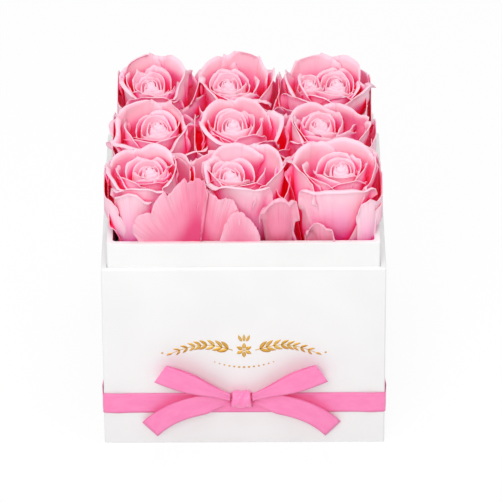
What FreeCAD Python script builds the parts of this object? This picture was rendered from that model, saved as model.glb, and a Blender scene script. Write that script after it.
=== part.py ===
import FreeCAD, Part
import math
import os

import Sketcher
from FreeCAD import Placement, Rotation, Vector

# Flower box: a square board box with a raised neck, nine roses on foam and a tied satin ribbon.
# The frame: origin at the middle of the underside, +Z up, the bow on the -Y side.

# Driving dimensions, in millimetres and degrees
DIMENSIONS = {
    "box_side": (150, "outside of the square box"),
    "box_height": (107.5, "height of the outer box, up to its ledge"),
    "board": (3, "thickness of the wrapped board"),
    "edge_round": (1, "rounding of the wrapped board's upright edges"),
    "neck_gap": (0.2, "glue gap between the outer box and the neck"),
    "neck_rise": (14, "how far the neck stands above the ledge"),
    "neck_corner": (2, "rounding inside the neck's corners"),
    "foam_gap": (0.4, "gap between the foam and the neck"),
    "foam_height": (82, "height of the foam block"),
    "rose_pitch": (45.8, "distance between neighbouring roses"),
    "rose_base": (97, "height at which the petals sit on their hips"),
    "rose_spin": (137.5, "turn from one rose to the next"),
    "rose_lean": (0.25, "rise of a rose's rim per millimetre from its front to its back"),
    "hip_height": (10, "height of a rose hip"),
    "hip_radius": (10.2, "radius of a hip's top"),
    "hip_swell": (0.75, "share of that radius half way up the hip"),
    "stem_sides": (10, "flats round a stem and its hip"),
    "stem_radius": (1.9, "radius of a stem"),
    "stem_length": (50, "length of a stem below its hip"),
    "bore_radius": (2.1, "radius of a stem's hole in the foam"),
    "bore_spare": (1, "depth of a stem's hole below the stem"),
    "petal_thickness": (0.6, "thickness of a petal"),
    "petal_drop": (0.28, "share by which a petal is shorter at its sides"),
    "petal_shoulder": (2.5, "power of the curve of a petal's upper edge"),
    "petal_crowding": (0.75, "power by which a petal's rows crowd towards its lip"),
    "outer_count": (5, "outer petals of a rose"),
    "outer_base": (8.6, "radius of the outer petals at the hip"),
    "outer_belly": (18.8, "radius of the outer petals at the belly"),
    "outer_rise": (49, "height of the belly of the outer petals"),
    "outer_lip": (7, "radius of the rolled lip of the outer petals"),
    "outer_turn": (55, "turn of the lip of the outer petals"),
    "outer_span": (112, "angle that one outer petal covers"),
    "outer_lean": (0.9, "how far an outer petal's edges lean out and in"),
    "middle_count": (4, "middle petals of a rose"),
    "middle_base": (5.6, "radius of the middle petals at the hip"),
    "middle_belly": (13.8, "radius of the middle petals at the belly"),
    "middle_rise": (50, "height of the belly of the middle petals"),
    "middle_lip": (6, "radius of the rolled lip of the middle petals"),
    "middle_turn": (55, "turn of the lip of the middle petals"),
    "middle_span": (132, "angle that one middle petal covers"),
    "middle_lean": (1.1, "how far a middle petal's edges lean out and in"),
    "heart_turns": (2.2, "turns of the rolled heart"),
    "heart_core": (1.6, "radius at which the roll of the heart starts"),
    "heart_radius": (9.4, "radius of the heart at its top"),
    "heart_foot": (3.4, "radius of the heart at the hip"),
    "heart_height": (56, "height of the heart"),
    "heart_fall": (0.06, "share by which the heart's outer turn is lower than its core"),
    "guard_foot": (98, "height of the lower edge of the guard petals"),
    "guard_front": (68.1, "distance of the guard petals' sides from the middle of the box"),
    "guard_layer": (1.2, "step between guard petals that lie one over the other"),
    "guard_narrow": (0.45, "share of a guard petal's width at its lower edge"),
    "guard_drop": (0.4, "share by which a guard petal is shorter at its sides"),
    "ribbon_width": (12, "width of the satin ribbon"),
    "ribbon_thickness": (0.4, "thickness of the satin ribbon"),
    "ribbon_gap": (0.1, "gap between the ribbon and the box"),
    "band_low": (19.5, "height of the band's lower edge"),
    "bow_shift": (-1.6, "place of the knot along the front"),
    "knot_height": (30, "height of the middle of the knot"),
    "knot_width": (11, "width of the knot"),
    "knot_tall": (8.5, "tallness of the knot"),
    "knot_depth": (7, "depth of the knot"),
    "knot_round": (2.4, "rounding of the knot"),
    "loop_reach": (43, "reach of a bow loop from the knot"),
    "loop_lift": (17, "rise of a bow loop's end above the knot"),
    "loop_swell": (6.4, "swell of a bow loop to either side"),
    "loop_slant": (32, "slant of the fold at a loop's end"),
    "loop_seat": (0.75, "share of the knot's depth at which a loop enters it"),
    "loop_open": (0.03, "share of a loop's round left open at the knot"),
    "loop_part": (1.2, "distance between the two runs of a loop at the knot"),
    "tail_reach": (49, "reach of a bow tail from the knot"),
    "tail_drop": (20, "drop of a bow tail's end below the knot"),
    "tail_arch": (6.4, "how far a tail arches away from the box"),
    "tail_sag": (1.6, "power of a tail's downward curve"),
    "tail_seat": (0.25, "share of the knot's depth at which a tail enters it"),
    "tail_slant": (43, "slant of a tail's cut end"),
    "pinch": (0.36, "share of the ribbon's width that is left where it enters the knot"),
}

# Guard petals along the front wall: place along the front, half width, height, dip between the roses, layer
GUARD_PETALS = {
    "guard_petal_fan": (-23, 28, 44, 8, 0),
    "guard_petal_side": (2, 11, 34, 0, 1),
    "guard_petal_round": (23, 13, 43, 7, 0),
    "guard_petal_curl": (40, 8, 30, 0, 1),
    "guard_petal_corner": (-60, 7, 38, 0, 1),
}

ROW_NAMES = ("front", "middle", "back")
COLUMN_NAMES = ("left", "centre", "right")

# Steps of the faceted sheets: across a petal, up a petal, round one turn of a heart, along a ribbon
PETAL_COLUMNS = 5
PETAL_ROWS = 4
HEART_STEPS = 7
HEART_ROWS = 2
GUARD_COLUMNS = 6
LOOP_STEPS = 16
TAIL_STEPS = 8

# Half side of a rectangle before its expressions size it, and the length below which two places are one
START = 10
SAME_PLACE = 1e-6

doc = FreeCAD.newDocument("flower_box")
sheet = doc.addObject("Spreadsheet::Sheet", "dims")
for row, (alias, (value, meaning)) in enumerate(DIMENSIONS.items(), start=1):
    sheet.set(f"A{row}", meaning)
    sheet.set(f"B{row}", str(value))
    sheet.setAlias(f"B{row}", alias)
doc.recompute()

sub_parts = []


def dim(alias):
    return float(sheet.get(alias))


def add_body(label):
    body = doc.addObject("PartDesign::Body", label)
    body.Label = label
    sub_parts.append(body)
    return body


def add_form(label, shape, placement):
    form = doc.addObject("Part::Feature", label)
    form.Label = label
    form.Shape = shape
    form.Placement = placement
    sub_parts.append(form)


# Sketches and features of the bodies


def add_sketch(body, name, role, offset):
    plane = next(item for item in body.Origin.OriginFeatures if item.Role == role)
    sketch = body.newObject("Sketcher::SketchObject", name)
    sketch.AttachmentSupport = [(plane, "")]
    sketch.MapMode = "FlatFace"
    sketch.setExpression("AttachmentOffset.Base.z", offset)
    return sketch


def draw_rectangle(sketch, width, tallness):
    """A rectangle about the sketch's origin, its sides bound to two expressions."""
    first = sketch.GeometryCount
    corners = [Vector(-START, -START), Vector(START, -START), Vector(START, START), Vector(-START, START)]
    for start, end in zip(corners, corners[1:] + corners[:1]):
        sketch.addGeometry(Part.LineSegment(start, end), False)
    bottom, right, top, left = range(first, first + 4)
    for line, following in ((bottom, right), (right, top), (top, left), (left, bottom)):
        sketch.addConstraint(Sketcher.Constraint("Coincident", line, 2, following, 1))
    for line in (bottom, top):
        sketch.addConstraint(Sketcher.Constraint("Horizontal", line))
    for line in (right, left):
        sketch.addConstraint(Sketcher.Constraint("Vertical", line))
    sketch.addConstraint(Sketcher.Constraint("Symmetric", bottom, 1, top, 1, -1, 1))
    across = sketch.addConstraint(Sketcher.Constraint("DistanceX", bottom, 1, bottom, 2, 2 * START))
    upward = sketch.addConstraint(Sketcher.Constraint("DistanceY", right, 1, right, 2, 2 * START))
    sketch.setExpression(f"Constraints[{across}]", width)
    sketch.setExpression(f"Constraints[{upward}]", tallness)


def add_pad(body, sketch, length):
    pad = body.newObject("PartDesign::Pad", sketch.Name + "_pad")
    pad.Profile = sketch
    pad.setExpression("Length", length)
    return pad


def add_pocket(body, sketch, depth):
    pocket = body.newObject("PartDesign::Pocket", sketch.Name + "_pocket")
    pocket.Profile = sketch
    pocket.setExpression("Length", depth)
    doc.recompute()
    if not 0 < pocket.Shape.Volume < pocket.BaseFeature.Shape.Volume:
        raise RuntimeError(f"{pocket.Name} cuts nothing or everything")
    return pocket


def round_edges(body, base, chosen, radius):
    """Round the edges of a feature that the test picks."""
    doc.recompute()
    names = [f"Edge{number}" for number, edge in enumerate(base.Shape.Edges, start=1) if chosen(edge)]
    fillet = body.newObject("PartDesign::Fillet", base.Name + "_rounded")
    fillet.Base = (base, names)
    fillet.setExpression("Radius", radius)
    return fillet


def upright(edge):
    start, end = edge.Vertexes[0].Point, edge.Vertexes[-1].Point
    return math.hypot(start.x - end.x, start.y - end.y) < SAME_PLACE


# The board box, its neck and the foam


def make_outer_box():
    body = add_body("outer_box")
    outline = add_sketch(body, "outer_outline", "XY_Plane", "0 mm")
    draw_rectangle(outline, "dims.box_side", "dims.box_side")
    block = add_pad(body, outline, "dims.box_height")
    round_edges(body, block, upright, "dims.edge_round")
    cavity = add_sketch(body, "outer_cavity", "XY_Plane", "dims.box_height")
    inside = "dims.box_side - 2 * dims.board"
    draw_rectangle(cavity, inside, inside)
    add_pocket(body, cavity, "dims.box_height - dims.board")


def make_neck():
    body = add_body("neck_sleeve")
    outline = add_sketch(body, "neck_outline", "XY_Plane", "dims.board")
    outside = "dims.box_side - 2 * dims.board - 2 * dims.neck_gap"
    draw_rectangle(outline, outside, outside)
    inside = "dims.box_side - 4 * dims.board - 2 * dims.neck_gap"
    draw_rectangle(outline, inside, inside)
    wall = add_pad(body, outline, "dims.box_height - dims.board + dims.neck_rise")
    half_inside = dim("box_side") / 2 - 2 * dim("board") - dim("neck_gap")

    def inner_corner(edge):
        return upright(edge) and abs(edge.Vertexes[0].Point.x) < half_inside + dim("board") / 2

    def outer_corner(edge):
        return upright(edge) and abs(edge.Vertexes[0].Point.x) > half_inside + dim("board") / 2

    inner = round_edges(body, wall, inner_corner, "dims.neck_corner")
    round_edges(body, inner, outer_corner, "dims.edge_round")


def make_foam():
    blank = doc.addObject("PartDesign::Body", "foam_blank")
    outline = add_sketch(blank, "foam_outline", "XY_Plane", "dims.board")
    side = "dims.box_side - 4 * dims.board - 2 * dims.neck_gap - 2 * dims.foam_gap"
    draw_rectangle(outline, side, side)
    block = add_pad(blank, outline, "dims.foam_height")
    round_edges(blank, block, upright, "dims.neck_corner")
    bore_foot = "dims.rose_base - dims.hip_height - dims.stem_length - dims.bore_spare"
    bores = []
    for y_place in (-1, 0, 1):
        for x_place in (-1, 0, 1):
            bore = doc.addObject("Part::Prism", "stem_bore")
            bore.setExpression("Polygon", "dims.stem_sides")
            bore.setExpression("Circumradius", "dims.bore_radius")
            bore.setExpression("Height", "dims.stem_length + dims.hip_height")
            bore.setExpression("Placement.Base.x", f"{x_place} * dims.rose_pitch")
            bore.setExpression("Placement.Base.y", f"{y_place} * dims.rose_pitch")
            bore.setExpression("Placement.Base.z", bore_foot)
            bores.append(bore)
    cluster = doc.addObject("Part::Compound", "stem_bores")
    cluster.Links = bores
    foam = doc.addObject("Part::Cut", "foam_block")
    foam.Label = "foam_block"
    foam.Base = blank
    foam.Tool = cluster
    sub_parts.append(foam)


# Thin faceted sheets, for petals and ribbon


def faceted_solid(points, facets):
    skin = Part.Shape()
    skin.makeShapeFromMesh((points, facets), SAME_PLACE)
    solid = Part.Solid(Part.Shell(skin.Faces))
    if solid.Volume < 0:
        solid.reverse()
    return solid


def sheet_solid(grid, thickness):
    """A closed thin solid: the grid of points is its front, and its back lies one thickness behind."""
    rows = len(grid)
    columns = len(grid[0])

    def normal(row, column):
        upward = grid[min(row + 1, rows - 1)][column] - grid[max(row - 1, 0)][column]
        across = grid[row][min(column + 1, columns - 1)] - grid[row][max(column - 1, 0)]
        return across.cross(upward).normalize()

    front = [point for line in grid for point in line]
    back = [
        grid[row][column] - normal(row, column) * thickness
        for row in range(rows)
        for column in range(columns)
    ]
    behind = len(front)
    facets = []

    def add_quad(first, second, third, fourth):
        facets.append((first, second, third))
        facets.append((first, third, fourth))

    for row in range(rows - 1):
        for column in range(columns - 1):
            low = row * columns + column
            high = low + columns
            add_quad(low, low + 1, high + 1, high)
            add_quad(behind + low, behind + high, behind + high + 1, behind + low + 1)
    bottom = list(range(columns))
    right = [row * columns + columns - 1 for row in range(1, rows)]
    top = [(rows - 1) * columns + column for column in range(columns - 2, -1, -1)]
    left = [row * columns for row in range(rows - 2, 0, -1)]
    rim = bottom + right + top + left
    for here, following in zip(rim, rim[1:] + rim[:1]):
        add_quad(following, here, behind + here, behind + following)
    return faceted_solid(front + back, facets)


def turned(point, angle):
    return Rotation(Vector(0, 0, 1), math.degrees(angle)).multVec(point)


def leaned(point):
    """A place on a rose after its lean, which grows from the hip up to the rim."""
    return point + Vector(0, 0, dim("rose_lean") * point.y * point.z / dim("heart_height"))


def petal_grid(ring):
    """One cupped petal: up the belly on a wide arc, then out over the lip on a small one."""
    base, belly, rise = dim(f"{ring}_base"), dim(f"{ring}_belly"), dim(f"{ring}_rise")
    lip, turn = dim(f"{ring}_lip"), math.radians(dim(f"{ring}_turn"))
    half_span = math.radians(dim(f"{ring}_span")) / 2
    lean = dim(f"{ring}_lean")
    bow = ((belly - base) ** 2 + rise**2) / (2 * (belly - base))
    belly_length = bow * math.asin(rise / bow)
    length = belly_length + lip * turn
    grid = []
    for row in range(PETAL_ROWS + 1):
        line = []
        for column in range(PETAL_COLUMNS + 1):
            side = 2 * column / PETAL_COLUMNS - 1
            upward = (row / PETAL_ROWS) ** dim("petal_crowding")
            along = upward * length * (1 - dim("petal_drop") * abs(side) ** dim("petal_shoulder"))
            if along < belly_length:
                slope = (along - belly_length) / bow
                radius = belly - bow * (1 - math.cos(slope))
                height = rise + bow * math.sin(slope)
            else:
                slope = (along - belly_length) / lip
                radius = belly + lip * (1 - math.cos(slope))
                height = rise + lip * math.sin(slope)
            place = Vector(radius + lean * side, 0, height - lean * side * upward)
            line.append(turned(place, half_span * side))
        grid.append(line)
    return grid


def ring_of_petals(ring, spin):
    count = int(dim(f"{ring}_count"))
    petal = petal_grid(ring)
    petals = []
    for number in range(count):
        angle = spin + 2 * math.pi * number / count
        grid = [[leaned(turned(point, angle)) for point in line] for line in petal]
        petals.append(sheet_solid(grid, dim("petal_thickness")))
    return Part.makeCompound(petals)


def heart_roll(spin):
    """The rolled heart: one sheet wound outwards, wider at its top than at the hip."""
    turns = dim("heart_turns")
    steps = round(HEART_STEPS * turns)
    grid = []
    for row in range(HEART_ROWS + 1):
        upward = row / HEART_ROWS
        widest = dim("heart_foot") + (dim("heart_radius") - dim("heart_foot")) * math.sqrt(upward)
        line = []
        for step in range(steps + 1):
            wound = step / steps
            radius = dim("heart_core") + (widest - dim("heart_core")) * wound
            height = upward * dim("heart_height") * (1 - dim("heart_fall") * wound)
            line.append(leaned(turned(Vector(radius, 0, height), spin + 2 * math.pi * turns * wound)))
        grid.append(line)
    return sheet_solid(grid, dim("petal_thickness"))


def guard_grid(place, half_width, height, dip, layer):
    """A petal standing along the front wall, its middle drawn back between two roses by the dip."""
    grid = []
    for row in range(PETAL_ROWS + 1):
        upward = row / PETAL_ROWS
        narrow = dim("guard_narrow")
        width = half_width * (narrow + (1 - narrow) * math.sin(upward * math.pi / 2))
        line = []
        for column in range(GUARD_COLUMNS + 1):
            side = 2 * column / GUARD_COLUMNS - 1
            drawn_back = dip * (1 - abs(side)) ** 2 * upward
            top = height * (1 - dim("guard_drop") * side**2)
            y_place = -dim("guard_front") + (1 - layer) * dim("guard_layer") + drawn_back
            line.append(Vector(place + width * side, y_place, dim("guard_foot") + upward * top))
        grid.append(line)
    return grid


# Roses


def stem_and_hip():
    """A stem that widens into the hip, turned with flats: rings of points joined by facets."""
    sides = int(dim("stem_sides"))
    foot = -dim("hip_height") - dim("stem_length")
    profile = [
        (dim("stem_radius"), foot),
        (dim("stem_radius"), -dim("hip_height")),
        (dim("hip_radius") * dim("hip_swell"), -dim("hip_height") / 2),
        (dim("hip_radius"), 0),
    ]
    points = [Vector(0, 0, foot), Vector(0, 0, 0)]
    for radius, height in profile:
        for side in range(sides):
            points.append(turned(Vector(radius, 0, height), 2 * math.pi * side / sides))
    facets = []
    last_ring = (len(profile) - 1) * sides
    for side in range(sides):
        here, following = 2 + side, 2 + (side + 1) % sides
        facets.append((0, following, here))
        facets.append((1, last_ring + here, last_ring + following))
        for ring in range(0, last_ring, sides):
            facets.append((ring + here, ring + following, ring + sides + following))
            facets.append((ring + here, ring + sides + following, ring + sides + here))
    return faceted_solid(points, facets)


def make_rose(label, place, spin):
    add_form(label + "_stem", stem_and_hip(), place)
    add_form(label + "_outer_petals", ring_of_petals("outer", spin), place)
    add_form(label + "_middle_petals", ring_of_petals("middle", spin), place)
    add_form(label + "_heart", heart_roll(spin), place)


def make_roses():
    number = 0
    for row, row_name in enumerate(ROW_NAMES):
        for column, column_name in enumerate(COLUMN_NAMES):
            spot = Vector((column - 1) * dim("rose_pitch"), (row - 1) * dim("rose_pitch"), dim("rose_base"))
            spin = math.radians(dim("rose_spin")) * number
            make_rose(f"rose_{row_name}_{column_name}", Placement(spot, Rotation()), spin)
            number += 1


def make_guard_petals():
    for label, sizes in GUARD_PETALS.items():
        add_form(label, sheet_solid(guard_grid(*sizes), dim("petal_thickness")), Placement())


# Ribbon band and bow


def make_band():
    body = add_body("ribbon_band")
    outline = add_sketch(body, "band_outline", "XY_Plane", "dims.band_low")
    outside = "dims.box_side + 2 * dims.ribbon_gap + 2 * dims.ribbon_thickness"
    draw_rectangle(outline, outside, outside)
    inside = "dims.box_side + 2 * dims.ribbon_gap"
    draw_rectangle(outline, inside, inside)
    ring = add_pad(body, outline, "dims.ribbon_width")
    middle_of_wall = (dim("box_side") + dim("ribbon_thickness")) / 2 + dim("ribbon_gap")

    def inner_corner(edge):
        return upright(edge) and abs(edge.Vertexes[0].Point.x) < middle_of_wall

    def outer_corner(edge):
        return upright(edge) and abs(edge.Vertexes[0].Point.x) > middle_of_wall

    inner = round_edges(body, ring, inner_corner, "dims.edge_round")
    round_edges(body, inner, outer_corner, "dims.edge_round + dims.ribbon_thickness")


def front_of_band():
    return -dim("box_side") / 2 - 2 * dim("ribbon_gap") - dim("ribbon_thickness")


def make_knot():
    body = add_body("bow_knot")
    outline = add_sketch(body, "knot_outline", "XZ_Plane", "0 mm")
    draw_rectangle(outline, "dims.knot_width", "dims.knot_tall")
    block = add_pad(body, outline, "dims.knot_depth")

    def front_edge(edge):
        start, end = edge.Vertexes[0].Point, edge.Vertexes[-1].Point
        return abs(start.y - end.y) < SAME_PLACE and start.y < -dim("knot_depth") / 2

    round_edges(body, block, front_edge, "dims.knot_round")
    body.Placement = Placement(Vector(dim("bow_shift"), front_of_band(), dim("knot_height")), Rotation())


def eased(share):
    return share * share * (3 - 2 * share)


def ribbon_strip(stations):
    """A strip of ribbon through stations, each a middle point and the half width at it."""
    grid = [[middle - half, middle + half] for middle, half in stations]
    return sheet_solid(grid, dim("ribbon_thickness"))


def loop_stations():
    """A bow loop, out from the knot along its front and back to it along its rear."""
    start = Vector(-dim("knot_width") / 2, -dim("loop_seat") * dim("knot_depth"), dim("knot_tall") / 4)
    reach = Vector(-dim("loop_reach"), start.y, dim("loop_lift")) - start
    stations = []
    for step in range(LOOP_STEPS + 1):
        turn = 2 * math.pi * (dim("loop_open") + (1 - 2 * dim("loop_open")) * step / LOOP_STEPS)
        outward = (1 - math.cos(turn)) / 2
        swell = dim("loop_swell") * math.sin(turn) * outward
        parting = dim("loop_part") / 2 * math.cos(turn / 2)
        middle = start + reach * outward - Vector(0, swell + parting, 0)
        slant = math.radians(dim("loop_slant")) * outward
        share = dim("pinch") + (1 - dim("pinch")) * eased(outward)
        half = Vector(math.sin(slant), 0, math.cos(slant)) * (share * dim("ribbon_width") / 2)
        stations.append((middle, half))
    return stations


def tail_stations():
    """A bow tail, arched away from the box and down to its slanted end."""
    stations = []
    for step in range(TAIL_STEPS + 1):
        along = step / TAIL_STEPS
        x_place = -dim("knot_width") / 2 - (dim("tail_reach") - dim("knot_width") / 2) * along
        y_place = -dim("tail_seat") * dim("knot_depth") - dim("tail_arch") * math.sin(math.pi * along)
        z_place = -dim("knot_tall") / 4 - (dim("tail_drop") - dim("knot_tall") / 4) * along ** dim("tail_sag")
        slant = math.radians(dim("tail_slant")) * along
        share = dim("pinch") + (1 - dim("pinch")) * eased(min(1, 2 * along))
        half = Vector(-math.sin(slant), 0, math.cos(slant)) * (share * dim("ribbon_width") / 2)
        stations.append((Vector(x_place, y_place, z_place), half))
    return stations


def mirrored(stations):
    return [(Vector(-m.x, m.y, m.z), Vector(-h.x, h.y, h.z)) for m, h in reversed(stations)]


def make_bow():
    place = Placement(Vector(dim("bow_shift"), front_of_band(), dim("knot_height")), Rotation())
    make_knot()
    add_form("bow_loop_left", ribbon_strip(loop_stations()), place)
    add_form("bow_loop_right", ribbon_strip(mirrored(loop_stations())), place)
    add_form("bow_tail_left", ribbon_strip(tail_stations()), place)
    add_form("bow_tail_right", ribbon_strip(mirrored(tail_stations())), place)


def check_and_write():
    doc.recompute()
    failed = [item.Name for item in doc.Objects if {"Invalid", "Error"} & set(item.State)]
    for item in sub_parts:
        if item.Shape.isNull() or not item.Shape.isValid() or not item.Shape.Solids:
            failed.append(item.Label)
    if failed:
        raise RuntimeError(f"these objects failed: {failed}")
    os.makedirs("parts", exist_ok=True)
    for item in sub_parts:
        item.Shape.exportStep(f"parts/{item.Label}.step")
    print(len(sub_parts), "sub-parts written")


make_outer_box()
make_neck()
make_foam()
make_roses()
make_guard_petals()
make_band()
make_bow()
check_and_write()
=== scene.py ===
import math

import bmesh
import bpy
import numpy as np
from mathutils import Matrix, Vector


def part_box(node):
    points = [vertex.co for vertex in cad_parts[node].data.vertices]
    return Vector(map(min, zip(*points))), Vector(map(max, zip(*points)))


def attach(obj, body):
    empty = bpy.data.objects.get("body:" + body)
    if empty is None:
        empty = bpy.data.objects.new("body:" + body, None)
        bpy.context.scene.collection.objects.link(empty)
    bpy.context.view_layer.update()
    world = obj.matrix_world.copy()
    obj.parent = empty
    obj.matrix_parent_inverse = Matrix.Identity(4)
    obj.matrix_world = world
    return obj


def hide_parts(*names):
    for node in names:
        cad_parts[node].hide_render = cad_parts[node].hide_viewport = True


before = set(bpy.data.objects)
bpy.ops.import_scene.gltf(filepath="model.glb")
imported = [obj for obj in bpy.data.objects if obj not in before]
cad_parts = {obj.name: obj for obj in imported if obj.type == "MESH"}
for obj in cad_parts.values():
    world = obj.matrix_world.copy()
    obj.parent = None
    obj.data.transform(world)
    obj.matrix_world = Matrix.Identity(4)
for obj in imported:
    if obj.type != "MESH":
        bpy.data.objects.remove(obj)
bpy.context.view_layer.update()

# Flower box: a wrapped white board box with a raised neck, nine preserved roses and a satin bow.
# Shapes are worked out in millimetres, in the frame of the part, and their meshes are in metres.
MM = 0.001


def node_box(node):
    low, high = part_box(node)
    return np.array(low) / MM, np.array(high) / MM


neck_low, neck_high = node_box("neck_sleeve")
band_low, band_high = node_box("ribbon_band")
knot_low, knot_high = node_box("bow_knot")
FRONT_FACE = node_box("outer_box")[0][1]
WALL_TOP = neck_high[2]


# Finishes: the nodes of a material, written as expressions
PAPER_SHADE, PAPER_WHITE = (0.86, 0.857, 0.855), (0.885, 0.882, 0.88)
FOAM_DARK, FOAM_LIGHT = (0.012, 0.02, 0.012), (0.035, 0.055, 0.03)
STEM_DARK, STEM_LIGHT = (0.08, 0.16, 0.045), (0.2, 0.3, 0.1)
PETAL_FOOT, PETAL_BELLY, PETAL_RIM = (0.999, 0.015, 0.2), (0.999, 0.33, 0.6), (0.999, 0.67, 0.775)
LOOSE_FOOT, LOOSE_BELLY, LOOSE_RIM = (0.76, 0.07, 0.19), (0.91, 0.3, 0.44), (0.965, 0.52, 0.64)
PETAL_VEIN = (0.86, 0.12, 0.29)
VEIN_STRETCH, FINE_VEIN_STRETCH = (34, 2.2, 40), (95, 3.2, 40)
VEIN_SHARE, LOOSE_VEIN_SHARE = 0.18, 0.22
# Painted shade in the hollows of the roses: its colours, the reach of the occlusion that finds the
# hollows, where the shade ends, and how much less a bud gets
PAINTED_SHADE_RED, PAINTED_SHADE_PINK = (0.999, 0.002, 0.04), (0.999, 0.035, 0.52)
PAINTED_SHADE_REACH, PAINTED_SHADE_END, BUD_PAINTED_SHADE_CUT = 30, 0.36, 0.2
SATIN_DEEP, SATIN_PALE, SATIN_EDGE = (0.95, 0.22, 0.48), (0.97, 0.255, 0.515), (0.8, 0.09, 0.3)
FLOAT_STRETCH, SLUB_STRETCH = (6, 5200, 1), (2, 160, 1)
GOLD_DEEP, GOLD_PALE = (0.72, 0.4, 0.06), (0.85, 0.54, 0.13)

# Tones in the marks of petals: 0 to 1 on the open petals of a rose, more on a bud, most on a loose petal
ROSE_TONE, LOOSE_TONE = 0.3, 1.6
BUD_TONE, BUD_TONE_RANGE = 1.15, 0.2


class Value:
    """One socket of a finish. Sums, differences and products add the Math nodes that they need."""

    def __init__(self, finish, socket):
        self.finish = finish
        self.socket = socket

    def maths(self, operation, *terms):
        return self.finish.node("ShaderNodeMath", {"operation": operation}, dict(enumerate(terms)))

    def __add__(self, other):
        return self.maths("ADD", self, other)

    __radd__ = __add__

    def __mul__(self, other):
        return self.maths("MULTIPLY", self, other)

    __rmul__ = __mul__

    def __sub__(self, other):
        return self.maths("SUBTRACT", self, other)

    def __rsub__(self, other):
        return self.maths("SUBTRACT", other, self)

    def between(self, low, high):
        """0 below low, 1 above high and a smooth rise between them."""
        sockets = {"Value": self, "From Min": low, "From Max": high}
        return self.finish.node("ShaderNodeMapRange", {"interpolation_type": "SMOOTHSTEP"}, sockets)


class Finish:
    """A material being made. One method adds every node."""

    def __init__(self, name):
        self.material = bpy.data.materials.new(name)
        self.material.use_nodes = True
        self.tree = self.material.node_tree
        self.tree.nodes.clear()

    def node(self, kind, settings, sockets, output=0):
        made = self.tree.nodes.new(kind)
        for name, setting in settings.items():
            setattr(made, name, setting)
        for name, given in sockets.items():
            if isinstance(given, Value):
                self.tree.links.new(given.socket, made.inputs[name])
            else:
                made.inputs[name].default_value = given
        return Value(self, made.outputs[output]) if len(made.outputs) else None

    def mixed(self, share, first, second):
        """A colour between two others: a Mix node takes colours at inputs 6 and 7, and gives one at 2."""
        sockets = {"Factor": share}
        for socket, given in ((6, first), (7, second)):
            sockets[socket] = given if isinstance(given, Value) else (*given, 1)
        return self.node("ShaderNodeMix", {"data_type": "RGBA"}, sockets, 2)

    def place(self):
        return self.node("ShaderNodeTexCoord", {}, {}, "Object")

    def stretched(self, vector, scale):
        return self.node("ShaderNodeVectorMath", {"operation": "MULTIPLY"}, {0: vector, 1: scale})

    def marks(self, name):
        """The three numbers that a mesh keeps at each point under one name."""
        return self.node("ShaderNodeAttribute", {"attribute_name": name}, {}, "Vector")

    def part(self, vector, axis):
        return self.node("ShaderNodeSeparateXYZ", {}, {"Vector": vector}, axis)

    def grain(self, vector, scale=1.0, detail=2.0):
        return self.node("ShaderNodeTexNoise", {}, {"Vector": vector, "Scale": scale, "Detail": detail})

    def bumped(self, height, depth):
        return self.node("ShaderNodeBump", {}, {"Height": height, "Distance": depth * MM})

    def closed(self, sockets):
        shader = self.node("ShaderNodeBsdfPrincipled", {}, sockets)
        self.node("ShaderNodeOutputMaterial", {}, {"Surface": shader})
        return self.material


def wrapped_paper():
    """White paper wrapped over board: a fine felt grain and a faint unevenness of tint and gloss."""
    finish = Finish("wrapped_paper")
    place = finish.place()
    felt = finish.grain(place, scale=2600, detail=3)
    cloud = finish.grain(place, scale=28)
    return finish.closed({
        "Base Color": finish.mixed(cloud.between(0.3, 0.7), PAPER_SHADE, PAPER_WHITE),
        "Roughness": 0.42 + 0.16 * felt,
        "Normal": finish.bumped(felt + 2 * cloud, depth=0.02),
    })


def floral_foam():
    finish = Finish("floral_foam")
    place = finish.place()
    cells = finish.node("ShaderNodeTexVoronoi", {}, {"Vector": place, "Scale": 1500})
    crumbs = finish.grain(place, scale=420, detail=4)
    return finish.closed({
        "Base Color": finish.mixed(crumbs.between(0.3, 0.75), FOAM_DARK, FOAM_LIGHT),
        "Roughness": 0.85 + 0.1 * crumbs,
        "Normal": finish.bumped(cells + crumbs, depth=0.4),
    })


def rose_stem():
    """Green stem with fibres that run along it."""
    finish = Finish("rose_stem")
    fibres = finish.grain(finish.stretched(finish.place(), (900, 900, 60)), detail=3)
    return finish.closed({
        "Base Color": finish.mixed(fibres.between(0.3, 0.7), STEM_DARK, STEM_LIGHT),
        "Roughness": 0.5 + 0.2 * fibres,
        "Normal": finish.bumped(fibres, depth=0.2),
    })


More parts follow.
